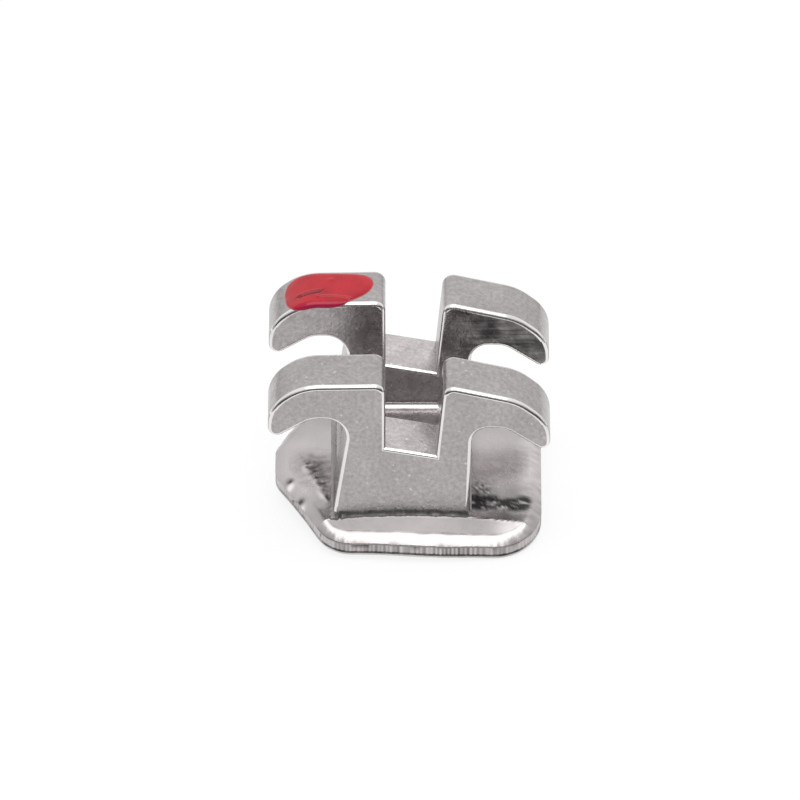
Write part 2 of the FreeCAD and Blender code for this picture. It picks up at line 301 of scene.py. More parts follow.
def pad_corners():
    end = PAD_LENGTH / 2
    corner = end - PAD_END_BULGE
    apex_end = PAD_APEX_LENGTH / 2
    middle = (PAD_RIGHT_REACH - PAD_LEFT_CORNER_REACH) / 2
    return [
        (-PAD_LEFT_REACH, PAD_APEX_SHIFT - apex_end, PAD_APEX_RADIUS),
        (-PAD_LEFT_CORNER_REACH, -corner, PAD_LEFT_CORNER_RADIUS),
        (middle, -end, PAD_BULGE_RADIUS),
        (PAD_RIGHT_REACH, -corner, PAD_RIGHT_CORNER_RADIUS),
        (PAD_RIGHT_REACH, corner, PAD_RIGHT_CORNER_RADIUS),
        (middle, end, PAD_BULGE_RADIUS),
        (-PAD_LEFT_CORNER_REACH, corner, PAD_LEFT_CORNER_RADIUS),
        (-PAD_LEFT_REACH, PAD_APEX_SHIFT + apex_end, PAD_APEX_RADIUS),
    ]


# Meshes

def new_object(name, vertices, faces, smooth=True):
    """A mesh object from points in millimetres, still in millimetres."""
    mesh = bpy.data.meshes.new(name)
    mesh.from_pydata([tuple(v) for v in vertices], [], faces)
    mesh.update()
    if smooth:
        mesh.shade_smooth()
    obj = bpy.data.objects.new(name, mesh)
    bpy.context.scene.collection.objects.link(obj)
    return obj


def prism(name, outline, place, depth):
    """A closed prism: the outline at place(u, v, depth[0]) and at place(u, v, depth[1])."""
    count = len(outline)
    vertices = [place(p.x, p.y, d) for d in depth for p in outline]
    faces = [(i, (i + 1) % count, count + (i + 1) % count, count + i) for i in range(count)]
    faces.append(tuple(reversed(range(count))))
    faces.append(tuple(range(count, 2 * count)))
    obj = new_object(name, vertices, faces, smooth=False)
    work = bmesh.new()
    work.from_mesh(obj.data)
    bmesh.ops.recalc_face_normals(work, faces=work.faces)
    work.to_mesh(obj.data)
    work.free()
    return obj


def applied(obj):
    """Applies the object's modifiers and returns it."""
    depsgraph = bpy.context.evaluated_depsgraph_get()
    mesh = bpy.data.meshes.new_from_object(obj.evaluated_get(depsgraph), depsgraph=depsgraph)
    obj.modifiers.clear()
    obj.data = mesh
    return obj


def boolean(obj, other, operation):
    modifier = obj.modifiers.new("boolean", "BOOLEAN")
    modifier.operation = operation
    modifier.object = other
    modifier.solver = "EXACT"
    applied(obj)
    bpy.data.objects.remove(other)
    return obj


def to_metres(obj):
    obj.data.transform(Matrix.Scale(MM, 4) @ Matrix.Translation((0, 0, CROWN)))
    return obj


def make_body():
    """The extruded twins with the gap cut across, all their edges rounded by real geometry."""
    outline = rounded_outline(body_corners(), 6)
    half = BODY_LENGTH / 2
    body = prism("tie_wings", outline, lambda u, v, d: (u, d, v), (-half, half))
    gap_half = half - TWIN_LENGTH
    above = LEFT["top"] + OVERRUN
    gap_outline = rounded_outline([
        (-gap_half, above, 0),
        (-gap_half, GAP_FLOOR_HEIGHT, GAP_CORNER_RADIUS),
        (gap_half, GAP_FLOOR_HEIGHT, GAP_CORNER_RADIUS),
        (gap_half, above, 0),
    ], 10)
    reach = WING_REACH + OVERRUN
    gap = prism("gap", gap_outline, lambda u, v, d: (d, u, v), (-reach, reach))
    boolean(body, gap, "DIFFERENCE")
    body.data.materials.append(None)
    body.data.materials.append(None)
    weigh_edges(body)
    bevel = body.modifiers.new("edges", "BEVEL")
    bevel.width = EDGE_RADIUS
    bevel.segments = EDGE_STEPS
    bevel.limit_method = "WEIGHT"
    bevel.use_clamp_overlap = False
    applied(body)
    mark_edge_highlights(body)
    boolean(body, pad_block(), "DIFFERENCE")
    body.data.shade_smooth()
    keep_corners_sharp(body)
    weighted = body.modifiers.new("normals", "WEIGHTED_NORMAL")
    weighted.mode = "FACE_AREA"
    weighted.keep_sharp = True
    weighted.weight = 80
    applied(body)
    return to_metres(body)


def weigh_edges(body):
    """Marks the sharp edges for rounding, but not the two that run along the slot's floor."""
    work = bmesh.new()
    work.from_mesh(body.data)
    weight = work.edges.layers.float.new("bevel_weight_edge")
    for edge in work.edges:
        if len(edge.link_faces) != 2 or edge.calc_face_angle() < math.radians(ROUNDED_FROM):
            continue
        (x1, y1, z1), (x2, y2, z2) = (vertex.co for vertex in edge.verts)
        in_slot = max(abs(x1 - SLOT_OFFSET), abs(x2 - SLOT_OFFSET)) < SLOT_WIDTH / 2 + 0.01
        along_floor = in_slot and abs(y1 - y2) > 0.1 and max(z1, z2) < SLOT_FLOOR_HEIGHT + 0.1
        edge[weight] = 0.0 if along_floor else 1.0
    work.to_mesh(body.data)
    work.free()


def keep_corners_sharp(body):
    """Keeps shading from running over the corners that weren't rounded."""
    work = bmesh.new()
    work.from_mesh(body.data)
    for edge in work.edges:
        if len(edge.link_faces) == 2 and edge.calc_face_angle() > math.radians(SHARP_FROM):
            edge.smooth = False
    work.to_mesh(body.data)
    work.free()


def mark_edge_highlights(body):
    """Gives the rounded edges the second material, smoother steel whose far lighter colour is a painted
    highlight: their full width on the wings' tops, a line elsewhere.
    """
    for polygon in body.data.polygons:
        tilt = math.degrees(math.acos(min(1.0, abs(polygon.normal.y))))
        x, _, z = polygon.center
        beside_slot = abs(x - SLOT_OFFSET) > SLOT_WIDTH / 2 + 0.02
        high = z > (LEFT_TOP_FROM if x < 0 else RIGHT_TOP_FROM)
        on_top = high and beside_slot and polygon.normal.z > 0.05
        least, most = TILT_ON_TOPS if on_top else TILT_ELSEWHERE
        polygon.material_index = 1 if least < tilt < most else 0


def pad_block():
    """A block whose upper side is the pad's top face, to cut the foot with."""
    steps = 24
    reach_x = 1.5
    reach_y = 1.7
    bottom = -2.0
    vertices = []
    for level in (0, 1):
        for j in range(steps + 1):
            for i in range(steps + 1):
                x = -reach_x + 2 * reach_x * i / steps
                y = -reach_y + 2 * reach_y * j / steps
                vertices.append((x, y, pad_drop(x, y) - SEAT if level else bottom))
    faces = []
    row = steps + 1
    offset = row * row
    for j in range(steps):
        for i in range(steps):
            a = j * row + i
            faces.append((a, a + row, a + row + 1, a + 1))
            faces.append((offset + a, offset + a + 1, offset + a + row + 1, offset + a + row))
    for i in range(steps):
        near = i
        far = steps * row + i
        faces.append((near, near + 1, offset + near + 1, offset + near))
        faces.append((far + 1, far, offset + far, offset + far + 1))
        left = i * row
        right = i * row + steps
        faces.append((left + row, left, offset + left, offset + left + row))
        faces.append((right, right + row, offset + right + row, offset + right))
    return new_object("below_foot", vertices, faces, smooth=False)


def rings_to_mesh(name, rings, closed_first, closed_last):
    """Joins rings of equal length by quads, and closes the first and last with a fan."""
    count = len(rings[0])
    vertices = [point for ring in rings for point in ring]
    faces = []
    for r in range(len(rings) - 1):
        a = r * count
        b = a + count
        for i in range(count):
            j = (i + 1) % count
            faces.append((a + i, a + j, b + j, b + i))
    for wanted, start, flip in ((closed_first, 0, True), (closed_last, (len(rings) - 1) * count, False)):
        if not wanted:
            continue
        ring = vertices[start:start + count]
        middle = len(vertices)
        vertices.append(tuple(sum(p[k] for p in ring) / count for k in range(3)))
        for i in range(count):
            j = (i + 1) % count
            face = (start + i, start + j, middle)
            faces.append(tuple(reversed(face)) if flip else face)
    return new_object(name, vertices, faces)


def smooth_step(low, high, value):
    t = min(1.0, max(0.0, (value - low) / (high - low)))
    return t * t * (3 - 2 * t)


def bump_at(x, y, spot_x, spot_y, radius_x, radius_y=None):
    """A round swelling that falls from 1 at its spot to 0."""
    across = (x - spot_x) / radius_x
    along = (y - spot_y) / (radius_y or radius_x)
    return math.exp(-across * across - along * along)


def waves(x, y, pitch, seed):
    """Smooth noise from about -1 to 1, its swells one pitch apart."""
    return noise.noise(Vector((x / pitch, y / pitch, seed)))


def waves_along(way, pitch, lane, seed):
    """The same along a line: each lane and seed has its own run of swells."""
    return noise.noise(Vector((way / pitch, lane, seed)))


def distance_to(path, x, y):
    """Distance from a point to a path of points, and how far along the path its nearest point is."""
    here = Vector((x, y))
    best = (9.0, 0.0)
    for index in range(len(path) - 1):
        p, q = Vector(path[index]), Vector(path[index + 1])
        share = min(1.0, max(0.0, (here - p).dot(q - p) / (q - p).length_squared))
        best = min(best, ((p.lerp(q, share) - here).length, index + share))
    return best


def foil_relief(x, y):
    """How far the foil's skin stands above the true curve: braze waves, dents, wrinkles and weld marks."""
    ripples = 0.006 * waves(x, y, 0.20, seed=3.1) + 0.003 * waves(x, y, 0.09, seed=8.4)
    relief = bump_at(x, y, *NEAR_LEFT_RUN) * ripples
    ripples = 0.010 * waves(x * 0.6, y * 2.2, 0.11, seed=5.7)
    ripples += 0.004 * waves(x * 0.7, y * 1.6, 0.05, seed=1.9)
    relief += bump_at(x, y, *NEAR_RIGHT_RUN) * ripples
    far_runs = bump_at(x, y, *FAR_LEFT_RUN) + bump_at(x, y, *FAR_RIGHT_RUN)
    relief += far_runs * 0.006 * waves(x, y, 0.15, seed=7.9)
    relief += smooth_step(-0.80, -1.00, x) * 0.003 * waves(x, y, 0.30, seed=6.3)
    relief += 0.002 * waves(x, y, 0.55, seed=2.2)
    away, _ = distance_to(LEFT_STREAK, x, y)
    relief += 0.010 * math.exp(-(away / 0.035) ** 2) * (0.6 + waves(x, y, 0.06, seed=2.5))
    for spot_x, spot_y in WELD_SPOTS:
        relief -= WELD_DEPTH * bump_at(x, y, spot_x, spot_y, WELD_RADIUS)
        relief += WELD_SWELL * bump_at(x, y, spot_x + 0.01, spot_y + WELD_SWELL_SHIFT, 0.040)
    return relief


def flange_bend(y):
    """How far the near flange bends down beyond the true curve, as a height in millimetres."""
    return -BEND_SLOPE * min(BEND_LENGTH, max(0.0, BEND_FROM - y))


def left_streak_painted_reflection(x, y, tone):
    """A dark wavy painted reflection by the left foot, wide towards the foot and sharp on its other side,
    where a painted highlight runs along it.
    """
    away, at = distance_to(LEFT_STREAK, x, y)
    start_x, start_y = LEFT_STREAK[0]
    towards_foot = x > start_x + (start_y - y) * 0.40
    width = 0.18 - 0.02 * at + 0.07 * waves(x, y, 0.07, seed=4.2) if towards_foot else 0.022
    dark = math.exp(-(away / width) ** 2)
    tone *= 1 - 0.82 * dark * (0.78 + 0.8 * waves(x, y, 0.045, seed=3.3))
    if towards_foot:
        return tone
    crest = math.exp(-((away - 0.035) / 0.012) ** 2)
    return tone + 0.7 * crest * smooth_step(0.8, 1.5, at)


def right_streak_painted_reflection(x, y, tone):
    """A near-black painted reflection by the right foot, broken by pale lines, darker in blotches above it
    and faintly darker above its right end.
    """
    away, _ = distance_to(RIGHT_STREAK, x, y)
    width = 0.115 + 0.05 * waves(x * 0.6, y, 0.10, seed=6.1)
    dark = 1 - smooth_step(width * 0.55, width * 1.25, away)
    drift = 2.5 * waves(x, y, 0.2, seed=8.8)
    lines = noise.noise(Vector((x / 0.13, y / 0.026 + drift, 5.5)))
    tone *= 1 - 0.92 * dark * (0.96 + 2.4 * min(0.0, 0.10 - lines))
    dark_blotches = bump_at(x, y, 0.78, -0.84, 0.18, 0.22) * (0.80 + 1.3 * waves(x, y, 0.035, seed=7.1))
    tone *= 1 - 0.80 * max(0.0, min(1.0, dark_blotches))
    return tone * (1 - 0.30 * bump_at(x, y, 1.16, -0.78, 0.14, 0.16))


def foil_painted_shading(x, y, inset):
    """How light the foil's skin is, 1 for plain steel, nearly all of it painted light and shade: painted
    shade on the near flange and the rolled edge, painted light in patches, dark painted reflections by the
    feet, and painted shade and highlight at the weld marks.
    """
    ragged = inset + 0.015 * waves(x, y, 0.11, seed=1.7)
    flange = smooth_step(-1.17, -1.25, y) * smooth_step(0.10, 0.135, ragged)
    # Painted shade on the near flange, less towards its right corner, and a little on the rolled edge; then
    # painted light in patches on the left, the right and beside the foot
    tone = 1.0 - flange * (0.60 - 0.30 * smooth_step(0.85, 1.15, x))
    tone -= 0.08 * smooth_step(0.135, 0.10, inset)
    tone += 0.30 * bump_at(x, y, -1.18, -0.72, 0.20, 0.50)
    tone += 0.35 * bump_at(x, y, 0.95, -0.45, 0.35, 0.25)
    tone += 0.30 * smooth_step(1.15, 1.28, x) * (0.4 + waves(x * 0.5, y, 0.06, seed=9.3))
    tone += 0.35 * smooth_step(0.60, 0.80, abs(x)) * math.exp(-((y + 0.15) / 0.55) ** 2)
    tone = left_streak_painted_reflection(x, y, tone)
    tone = right_streak_painted_reflection(x, y, tone)
    # At each weld mark: painted shade in its dent and a painted highlight on its near side
    for spot_x, spot_y in WELD_SPOTS:
        tone *= 1 - 0.90 * bump_at(x, y, spot_x, spot_y, 0.042)
        tone += 1.3 * bump_at(x, y, spot_x + 0.005, spot_y - 0.090, 0.036, 0.045)
    return min(2.3, max(0.05, tone))


def give(obj, name, values):
    obj.data.attributes.new(name, "FLOAT", "POINT").data.foreach_set("value", values)


def make_foil():
    """The thin stamped foil: one skin whose edge rolls over, with the relief of real handling."""
    outline = evenly_spaced(rounded_outline(pad_corners(), 3), FOIL_PITCH)
    normals = outward_normals(outline)
    count = len(outline)
    ripples = []
    for i in range(count):
        way = i * FOIL_PITCH
        ripples.append(0.012 * waves_along(way, 0.12, 0.3, 0.7) + 0.006 * waves_along(way, 0.045, 1.3, 2.7))
    under = []
    for scale in (0.5, 0.97):
        ring = []
        for p, n in zip(outline, normals):
            q = (p - n * 0.02) * scale
            ring.append((q.x, q.y, pad_drop(q.x, q.y) - FOIL_THICKNESS - 0.002))
        under.append(ring)
    base_ring = []
    for p, n, ripple in zip(outline, normals, ripples):
        q = p - n * 0.010
        base_ring.append((q.x, q.y, pad_drop(q.x, q.y) - FOIL_THICKNESS - 0.010 + ripple))
    rings = [base_ring]
    for inset in EDGE_INSETS:
        ring = []
        share = max(0.0, 1 - inset / EDGE_ROLL)
        for p, n, ripple in zip(outline, normals, ripples):
            q = p - n * (inset + 0.003)
            z = pad_drop(q.x, q.y) - EDGE_DROP * share ** 2 + ripple * share ** 3
            z += foil_relief(q.x, q.y) * smooth_step(0.0, 0.08, inset)
            ring.append((q.x, q.y, z))
        rings.append(ring)
    last = [Vector(point[:2]) for point in rings[-1]]
    for step in range(1, FOIL_RINGS):
        inner = [q * (1 - step / FOIL_RINGS) for q in last]
        rings.append([(q.x, q.y, pad_drop(q.x, q.y) + foil_relief(q.x, q.y)) for q in inner])
    foil = rings_to_mesh("foil_skin", under + rings, True, True)

    points = [vertex.co for vertex in foil.data.vertices]
    first = len(under) * count
    insets = [1.0] * first + [inset for inset in (0.0, *EDGE_INSETS) for _ in outline]
    insets += [1.0] * (len(points) - len(insets))
    give(foil, "tone", [foil_painted_shading(point.x, point.y, inset) for point, inset in zip(points, insets)])
    bends = [flange_bend(point.y) for point in points]
    rolled = 1 + len([inset for inset in EDGE_INSETS if inset < EDGE_ROLL])
    held = [flange_bend((p - n * EDGE_ROLL).y) for p, n in zip(outline, normals)]
    bends[first:first + rolled * count] = held * rolled
    give(foil, "bend", bends)
    return to_metres(foil)


def foot_outline():
    """The body's foot where it meets the pad, with its corners rounded like its edges."""
    end = BODY_LENGTH / 2
    mean_drop = 0.10
    left = LEFT["neck"] + (LEFT["arch"] + mean_drop) * tangent(LEFT["flare"])
    right = RIGHT["neck"] + (RIGHT["arch"] + mean_drop) * tangent(RIGHT["flare"])
    corners = [(-left, -end, EDGE_RADIUS), (right, -end, EDGE_RADIUS),
               (right, end, EDGE_RADIUS), (-left, end, EDGE_RADIUS)]
    return evenly_spaced(rounded_outline(corners, 10), BRAZE_PITCH)


def make_braze():
    """The braze that wetted the foot all round: a hollow, uneven fillet with frozen ripples."""
    outline = foot_outline()
    normals = outward_normals(outline)
    full_turn = math.radians(BRAZE_TURNS[-1])
    rings = []
    tones = []
    for turn in BRAZE_TURNS:
        out_share = (1 - math.cos(math.radians(turn))) / (1 - math.cos(full_turn))
        up_share = 1 - math.sin(math.radians(turn)) / math.sin(full_turn)
        core = math.exp(-((turn - 30) / 30) ** 2)
        ring = []
        for i, (p, n) in enumerate(zip(outline, normals)):
            wave = waves_along(i * BRAZE_PITCH, 0.10, turn / 60, 3.0)
            fine = waves_along(i * BRAZE_PITCH, 0.028, turn / 25, 6.0)
            near_end = smooth_step(-1.10, -1.18, p.y)
            residue = bump_at(p.x, p.y, *RESIDUE)
            height = 0.060 + 0.045 * near_end + 0.014 * wave + 0.05 * residue * (0.5 + fine)
            reach = 0.040 + 0.010 * wave + 0.006 * fine + 0.045 * residue * (0.5 + fine)
            q = p + n * (reach * out_share - 0.006 * up_share)
            lean = up_share * height * (0.16 if n.x < -0.5 else 0.0)
            ring.append((q.x + lean, q.y, pad_drop(q.x, q.y) - SEAT + height * up_share))
            # Painted shade in the fillet's hollow, deeper at the near end; the residue adds random light and
            # dark
            tone = 1.0 - (0.40 + 0.30 * fine) * core * near_end
            tone *= 1 - 0.35 * (1 - near_end) * core
            tones.append(max(0.08, tone + 1.2 * residue * fine))
        rings.append(ring)
    inner = []
    for p, n in zip(outline, normals):
        inner.append((p.x - 0.03 * n.x, p.y - 0.03 * n.y, pad_drop(p.x, p.y) - 0.03))
    braze = rings_to_mesh("braze_run", [inner] + rings[::-1] + [inner], False, False)
    count = len(outline)
    values = [1.0] * count
    for index in reversed(range(len(BRAZE_TURNS))):
        values += tones[index * count:(index + 1) * count]
    give(braze, "tone", values + [1.0] * count)
    return to_metres(braze)


def make_gauze_rim():
    """The crushed rim of the gauze, grooved where its cut wires lie side by side."""
    outline = evenly_spaced(rounded_outline(pad_corners(), 3), RIM_PITCH)
    normals = outward_normals(outline)
    grooves = []
    for i in range(len(outline)):
        way = i * RIM_PITCH
        wander = 1.4 * waves_along(way, 0.5, 4.4, 0.1)
        comb = math.sin(2 * math.pi * (way / COMB_PITCH + wander))
        patches = waves_along(way, 0.25, 2.6, 0.9)
        grooves.append(0.5 * comb * (0.6 + 0.6 * patches) + 0.7 * waves_along(way, 0.030, 9.1, 0.4))
    top = FOIL_THICKNESS - SEAT
    bottom = FOIL_THICKNESS + MESH_THICKNESS
    tones = []
    levels = (  # depth, inset and share of the grooves
        (top - 0.002, 0.060, 0.0), (top, 0.008, 0.3), (top + 0.006, 0.006, 0.6), (top + 0.020, 0.010, 1.0),
        (top + 0.045, 0.012, 1.0), (top + 0.070, 0.013, 1.0), (top + 0.092, 0.012, 1.0),
        (top + 0.104, 0.009, 0.7), (top + 0.110, 0.002, 0.25), (top + 0.120, 0.000, 0.15),
        (top + 0.130, 0.001, 0.15), (bottom - 0.004, 0.006, 0.2), (bottom, 0.018, 0.2),
        (bottom, RIM_WIDTH, 0.0), (top, RIM_WIDTH, 0.0),
    )
    rings = []
    for depth, inset, share in reversed(levels):
        ring = []
        for i, (p, n) in enumerate(zip(outline, normals)):
            way = i * RIM_PITCH
            q = p - n * (inset + 0.004 - 0.0045 * share * grooves[i])
            sag = 0.006 * waves_along(way, 0.22, 7.7, 3.3) if depth > bottom - 0.03 else 0
            ring.append((q.x, q.y, pad_drop(q.x, q.y) - depth + max(0.0, sag)))
            tones.append(gauze_painted_shading(way, depth - top, grooves[i] * share, n))
        rings.append(ring)
    rings.append(rings[0])
    tones += tones[:len(outline)]
    rim = rings_to_mesh("gauze_rim", rings, False, False)
    give(rim, "tone", tones)
    return to_metres(rim)


def gauze_painted_shading(way, depth, groove, normal):
    """How light the rim is, all painted light and shade: painted shade in the grooves between the cut wires
    and in patches under the foil's edge, a painted shade line low down with a painted light band under it,
    and painted light on the sides that face along x, where the grooves show less.
    """
    facing_x = smooth_step(0.25, 0.70, abs(normal.x))
    tone = 0.95 + 0.70 * groove * (1 - 0.65 * facing_x) + 0.25 * facing_x
    patch = smooth_step(0.05, 0.30, waves_along(way, 0.26, 5.2, 1.1))
    under_foil = 1 - smooth_step(0.02, 0.07, depth)
    tone *= 1 - 0.70 * patch * under_foil * (1 - facing_x)
    crease = math.exp(-((depth - 0.110) / 0.008) ** 2)
    tone *= 1 - 0.60 * crease * (0.6 + waves_along(way, 0.1, 0.2, 8.0))
    tone += 0.45 * smooth_step(0.112, 0.120, depth) * (1 - smooth_step(0.134, 0.140, depth))
    return min(2.0, max(0.08, tone))


def spans_inside(outline, fixed_axis, at):
    """Where a line at that x (axis 0) or y (axis 1) runs inside an outline."""
    other = 1 - fixed_axis
    crossings = []
    for i, p in enumerate(outline):
        q = outline[(i + 1) % len(outline)]
        if (p[fixed_axis] - at) * (q[fixed_axis] - at) < 0:
            share = (at - p[fixed_axis]) / (q[fixed_axis] - p[fixed_axis])
            crossings.append(p[other] + (q[other] - p[other]) * share)
    return (min(crossings), max(crossings)) if crossings else None


def make_weave():
    """The woven wires inside the rim, each over one wire and under the next."""
    outline = rounded_outline(pad_corners(), 6)
    middle_depth = FOIL_THICKNESS + MESH_THICKNESS / 2
    vertices = []
    faces = []
    for fixed_axis in (0, 1):
        for line in range(-WIRE_LINES, WIRE_LINES + 1):
            at = line * MESH_PITCH
            span = spans_inside(outline, fixed_axis, at)
            if not span or span[1] - span[0] < 0.4:
                continue
            low, high = span[0] + 0.05, span[1] - 0.05
            steps = math.ceil((high - low) / WIRE_STEP)
            first = len(vertices)
            for step in range(steps + 1):
                along = low + (high - low) * step / steps
                x, y = (at, along) if fixed_axis == 0 else (along, at)
                sign = 1 if (line + fixed_axis) % 2 else -1
                wave = sign * math.cos(math.pi * along / MESH_PITCH)
                centre = Vector((x, y, pad_drop(x, y) - middle_depth + WIRE_SWING * wave))
                for side in range(WIRE_SIDES):
                    turn = 2 * math.pi * side / WIRE_SIDES
                    across = WIRE_RADIUS * math.cos(turn)
                    offset = (across, 0, 0) if fixed_axis == 0 else (0, across, 0)
                    vertices.append(centre + Vector(offset) + Vector((0, 0, WIRE_RADIUS * math.sin(turn))))
            for step in range(steps):
                for side in range(WIRE_SIDES):
                    a = first + step * WIRE_SIDES + side
                    b = first + step * WIRE_SIDES + (side + 1) % WIRE_SIDES
                    face = (a, b, b + WIRE_SIDES, a + WIRE_SIDES)
                    faces.append(face if fixed_axis else tuple(reversed(face)))
            start = tuple(range(first, first + WIRE_SIDES))
            end = tuple(range(first + steps * WIRE_SIDES, first + (steps + 1) * WIRE_SIDES))
            faces.append(tuple(reversed(start)) if fixed_axis else start)
            faces.append(end if fixed_axis else tuple(reversed(end)))
    return to_metres(new_object("gauze_wires", vertices, faces))


def smooth_loop(points, rounds=3):
    """Rounds a closed loop off by cutting its corners."""
    for _ in range(rounds):
        cut = []
        for i, p in enumerate(points):
            q = points[(i + 1) % len(points)]
            cut.append(p.lerp(q, 0.25))
            cut.append(p.lerp(q, 0.75))
        points = cut
    return points


def left_wing_top():
    """Points of the left wing's upper outline, from its nose to the slot's mouth."""
    outline = rounded_outline(body_corners(), 2)
    return [p for p in outline if p.y > 1.10 and p.x < SLOT_OFFSET - SLOT_WIDTH / 2 - 0.001]


def skin_point(profile, x, v, lift):
    """A point on the far left wing's skin at x, v along it from the near face's plane, lifted off it."""
    for p, q in zip(profile, profile[1:]):
        if p.x <= x <= q.x and q.x > p.x:
            break
    share = (x - p.x) / (q.x - p.x)
    here = p.lerp(q, share)
    along = (q - p).normalized()
    normal = Vector((-along.y, along.x))
    near = BODY_LENGTH / 2 - TWIN_LENGTH
    turn = min(math.pi / 2, max(0.0, EDGE_RADIUS - v) / EDGE_RADIUS)
    beside = EDGE_RADIUS - (EDGE_RADIUS + lift) * math.sin(turn)
    sunk = EDGE_RADIUS * (1 - math.cos(turn)) - lift * math.cos(turn)
    sunk += max(0.0, (EDGE_RADIUS - v) - EDGE_RADIUS * math.pi / 2)
    point = here - normal * sunk
    return (point.x, near + (v if v >= EDGE_RADIUS else beside), point.y)


def scratch_middle(x):
    return 0.215 + 0.22 * (x + 1.10)


def scratch_shade_share(x, v):
    """How much painted shade a point of the lacquer gets in the scratch's groove, from 0 to 1."""
    ragged = 0.027 * (1 + 0.8 * waves(x, v, 0.04, seed=2.0))
    share = math.exp(-((v - scratch_middle(x)) / ragged) ** 2)
    return 0.85 * share * smooth_step(-1.27, -1.20, x) * smooth_step(-0.92, -1.00, x)


def lacquer_film(x, v, inside):
    """How full the colour is: thin at the rim and by the wing's nose."""
    fade = smooth_step(-1.42, -1.33, x + 0.02 * noise.noise(Vector((x * 9, v * 9, 0))))
    return min(1.0, 0.35 + inside / 0.02) * (0.35 + 0.65 * fade)


def lacquer_rim(x, v):
    """Where the film hangs over the wing's near edge."""
    return smooth_step(0.045, 0.0, v) * smooth_step(-1.34, -1.25, x) * smooth_step(-0.68, -0.80, x)


def lacquer_lift(x, v, inside):
    """Thickness of the lacquer: a rounded rim, a ridge near its near edge and a scratch."""
    lift = LACQUER_THICKNESS * (1 - math.exp(-inside / LACQUER_ROUNDING))
    lift += 0.003 * waves(x, v, 0.28, seed=4.0)
    ridge = math.exp(-((v - 0.085 - 0.05 * math.sin(5 * x)) / 0.019) ** 2)
    lift += 0.013 * ridge * smooth_step(-1.05, -0.98, x) * smooth_step(-0.60, -0.68, x)
    across = v - scratch_middle(x)
    scratched = smooth_step(-1.26, -1.20, x) * smooth_step(-0.93, -1.00, x)
    lift -= 0.013 * scratched * math.exp(-(across / 0.020) ** 2)
    lift += 0.004 * scratched * math.exp(-((across - 0.035) / 0.018) ** 2)
    lift += 0.006 * bump_at(x, v, -0.867, 0.475, 0.030)
    return max(0.0006, lift * min(1.0, inside / 0.004))


def make_lacquer():
    """The dab of lacquer, a thin domed skin that wraps over the wing's near edge."""
    profile = left_wing_top()
    loop = smooth_loop([Vector(point) for point in LACQUER_POINTS])
    loop = evenly_spaced(loop, LACQUER_PITCH)[::-1]
    centre = Vector(LACQUER_CENTRE)
    rings = [[skin_point(profile, q.x, q.y, -0.006) for q in loop]]
    films = [0.0] * len(loop)
    rims = [0.0] * len(loop)
    grooves = [0.0] * len(loop)
    for step in range(LACQUER_RINGS):
        share = (step / LACQUER_RINGS) ** 1.5
        ring = []
        for q in loop:
            point = q.lerp(centre, share)
            inside = (point - q).length
            x, v = point
            ring.append(skin_point(profile, x, v, lacquer_lift(x, v, inside)))
            films.append(lacquer_film(x, v, inside))
            rims.append(lacquer_rim(x, v))
            grooves.append(scratch_shade_share(x, v))
        rings.append(ring)
    dab = rings_to_mesh("lacquer_dab", rings, True, True)
    middles = len(dab.data.vertices) - len(films)
    give(dab, "film", films + [1.0] * middles)
    give(dab, "rim", rims + [0.0] * middles)
    give(dab, "groove", grooves + [0.0] * middles)
    return to_metres(dab)


def set_camera():
    data = bpy.data.cameras.new("camera")
    camera = bpy.data.objects.new("camera", data)
    bpy.context.scene.collection.objects.link(camera)
    elevation = math.radians(CAMERA_ELEVATION)
    back = Vector((0, -math.cos(elevation), math.sin(elevation)))
    camera.location = Vector(CAMERA_TARGET) * MM + CAMERA_DISTANCE * MM * back
    camera.rotation_euler = (math.pi / 2 - elevation, 0, 0)
    data.lens = CAMERA_LENS
    data.sensor_width = CAMERA_SENSOR
    data.clip_start = 0.001
    data.clip_end = 10
    bpy.context.scene.camera = camera


# Materials

def material(name):
    made = bpy.data.materials.new(name)
    made.use_nodes = True
    nodes = made.node_tree.nodes
    nodes.clear()
    output = nodes.new("ShaderNodeOutputMaterial")
    shader = nodes.new("ShaderNodeBsdfPrincipled")
    made.node_tree.links.new(shader.outputs["BSDF"], output.inputs["Surface"])
    return made, made.node_tree, shader


def plug(tree, socket, value):
    """Links a socket to another one, or sets its value."""
    if isinstance(value, bpy.types.NodeSocket):
        tree.links.new(value, socket)
    else:
        socket.default_value = value


def add(tree, kind, **inputs):
    """A node with the given input values or links. Keys are socket names with _ for a space."""
    node = tree.nodes.new(kind)
    for key, value in inputs.items():
        plug(tree, node.inputs[key.replace("_", " ")], value)
    return node


def millimetres(tree, scale=(1, 1, 1)):
    coordinates = tree.nodes.new("ShaderNodeTexCoord")
    mapping = add(tree, "ShaderNodeMapping", Vector=coordinates.outputs["Object"])
    mapping.inputs["Scale"].default_value = tuple(1000 * s for s in scale)
    return mapping.outputs["Vector"]


def noise_at(tree, vector, scale, detail=2.0, roughness=0.5):
    node = add(tree, "ShaderNodeTexNoise", Vector=vector, Scale=scale, Detail=detail, Roughness=roughness)
    return node.outputs["Fac"]


def remap(tree, value, low, high, to_low, to_high):
    limits = dict(From_Min=low, From_Max=high, To_Min=to_low, To_Max=to_high)
    return add(tree, "ShaderNodeMapRange", Value=value, **limits).outputs["Result"]


def bumped(tree, height, distance, normal=None):
    node = add(tree, "ShaderNodeBump", Height=height, Distance=distance, Strength=1.0)
    if normal is not None:
        tree.links.new(normal, node.inputs["Normal"])
    return node.outputs["Normal"]


def attribute(tree, name):
    """The value that the mesh's points were given under that name."""
    node = tree.nodes.new("ShaderNodeAttribute")
    node.attribute_name = name
    return node.outputs["Fac"]


def calculated(tree, operation, *values):
    node = tree.nodes.new("ShaderNodeMath")
    node.operation = operation
    for socket, value in zip(node.inputs, values):
        plug(tree, socket, value)
    return node.outputs["Value"]


